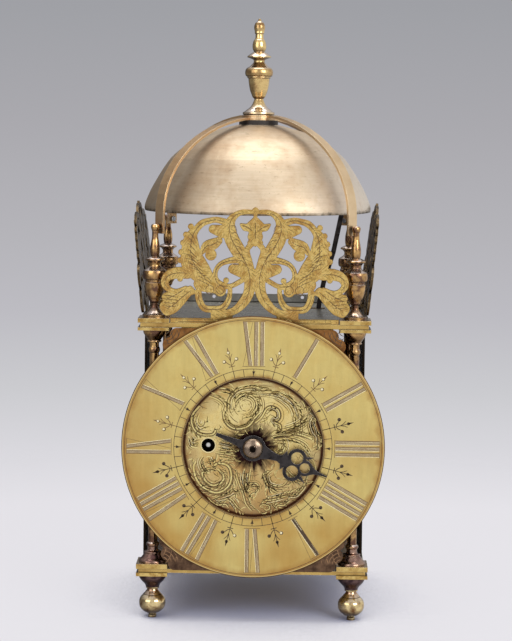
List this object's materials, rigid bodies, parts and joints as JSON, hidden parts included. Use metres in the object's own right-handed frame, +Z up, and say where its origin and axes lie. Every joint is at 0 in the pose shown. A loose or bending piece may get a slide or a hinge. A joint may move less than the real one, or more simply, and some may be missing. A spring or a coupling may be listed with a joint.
{
  "type": "lantern clock",
  "caption": "Square brass clock on turned pillars with a round one-handed dial, pierced frets, side doors and a bell under crossed hoops, topped by finials.",
  "frame": {"origin": "on the floor, under the middle of the clock's overall box", "axes": "+Z up, the dial faces -Y, +X to the right of someone who faces the dial"},
  "size_m": [0.1672, 0.1614, 0.3878],
  "materials": {
    "turned_brass": "turned and polished, darkened to bronze in the hollows",
    "hoop_brass": "worn satin",
    "bell_metal": "pale polished bell metal",
    "fret_brass": "sawn and engraved, satin",
    "ring_brass": "brushed, engraved and waxed",
    "plate_brass": "aged satin",
    "steel": "filed and polished",
    "black_iron": "blackened",
    "leather": "dark leather"
  },
  "bodies": {
    "frame": {"foot_front_left": "turned_brass", "foot_front_right": "turned_brass", "foot_back_left": "turned_brass", "foot_back_right": "turned_brass", "bottom_plate": "plate_brass", "pillar_front_left": "turned_brass", "pillar_front_right": "turned_brass", "pillar_back_left": "turned_brass", "pillar_back_right": "turned_brass", "top_plate": "plate_brass", "finial_front_left": "turned_brass", "finial_front_right": "turned_brass", "finial_back_left": "turned_brass", "finial_back_right": "turned_brass", "bell_hoop_lower": "hoop_brass", "bell_hoop_upper": "hoop_brass", "hoop_screws": "steel", "bell": "bell_metal", "bell_washer": "leather", "bell_nut": "steel", "top_finial": "turned_brass", "fret_front": "fret_brass", "fret_left": "fret_brass", "fret_right": "fret_brass", "fret_screws": "steel", "front_plate": "plate_brass", "chapter_ring": "ring_brass", "back_plate": "steel", "train_plate_front": "plate_brass", "train_plate_back": "plate_brass", "train_pillars": "plate_brass", "pallet_cock": "plate_brass", "hammer_cock": "plate_brass", "hammer_stop": "steel", "click_spring": "steel", "click_screw": "steel"},
    "barrel": {"spring_barrel": "plate_brass", "barrel_cap": "plate_brass", "motion_pinion": "plate_brass", "mainspring": "steel"},
    "winding": {"barrel_arbor": "steel", "ratchet_wheel": "steel"},
    "click": {"click": "steel"},
    "second": {"second_arbor": "steel", "second_wheel": "plate_brass", "strike_cam": "plate_brass"},
    "third": {"third_arbor": "steel", "third_wheel": "plate_brass"},
    "escape": {"escape_arbor": "steel", "escape_wheel": "plate_brass"},
    "pendulum": {"pallets": "steel", "pendulum_rod": "steel", "pendulum_bob": "plate_brass"},
    "hammer": {"hammer_arm": "black_iron", "hammer_head": "black_iron"},
    "hand": {"hour_hand": "black_iron", "hour_wheel": "plate_brass", "hand_collet": "turned_brass"},
    "door_left": {"door_left": "plate_brass"},
    "door_right": {"door_right": "plate_brass"}
  },
  "joints": [
    {"name": "third_turn", "type": "hinge", "parent": "frame", "child": "third", "pos_m": [0.00675, -0.0301, 0.13419], "axis": [0, 1, 0], "continuous": true},
    {"name": "second_turn", "type": "hinge", "parent": "frame", "child": "second", "pos_m": [-0.01509, -0.0261, 0.1426], "axis": [0, 1, 0], "continuous": true},
    {"name": "barrel_turn", "type": "hinge", "parent": "frame", "child": "barrel", "pos_m": [-0.0284, -0.0371, 0.11405], "axis": [0, 1, 0], "continuous": true},
    {"name": "hand_turn", "type": "hinge", "parent": "frame", "child": "hand", "pos_m": [0, -0.0641, 0.1131], "axis": [0, 1, 0], "continuous": true},
    {"name": "escape_turn", "type": "hinge", "parent": "frame", "child": "escape", "pos_m": [0.005, -0.0301, 0.1564], "axis": [0, 1, 0], "continuous": true},
    {"name": "winding_turn", "type": "hinge", "parent": "frame", "child": "winding", "pos_m": [-0.0284, -0.0301, 0.11405], "axis": [0, 1, 0], "continuous": true},
    {"name": "click_lift", "type": "hinge", "parent": "frame", "child": "click", "pos_m": [-0.0129, -0.0047, 0.12305], "axis": [0, 1, 0], "range_deg": [0, 12]},
    {"name": "pendulum_swing", "type": "hinge", "parent": "frame", "child": "pendulum", "pos_m": [0.005, 0.0059, 0.17403], "axis": [0, 1, 0], "range_deg": [-4, 4]},
    {"name": "hammer_lift", "type": "hinge", "parent": "frame", "child": "hammer", "pos_m": [0.041, 0.0209, 0.1739], "axis": [0, 1, 0], "range_deg": [-12, 0]},
    {"name": "door_left_open", "type": "hinge", "parent": "frame", "child": "door_left", "pos_m": [-0.07035, 0.0569, 0.11], "axis": [0, 0, -1], "range_deg": [0, 100]},
    {"name": "door_right_open", "type": "hinge", "parent": "frame", "child": "door_right", "pos_m": [0.07035, 0.0569, 0.11], "axis": [0, 0, 1], "range_deg": [0, 100]}
  ],
  "couplings": [
    {"joint": "second_turn", "follows": "third_turn", "ratio": -0.083333},
    {"joint": "barrel_turn", "follows": "third_turn", "ratio": 0.013889},
    {"joint": "hand_turn", "follows": "third_turn", "ratio": -0.0069444},
    {"joint": "escape_turn", "follows": "third_turn", "ratio": -12.5}
  ]
}
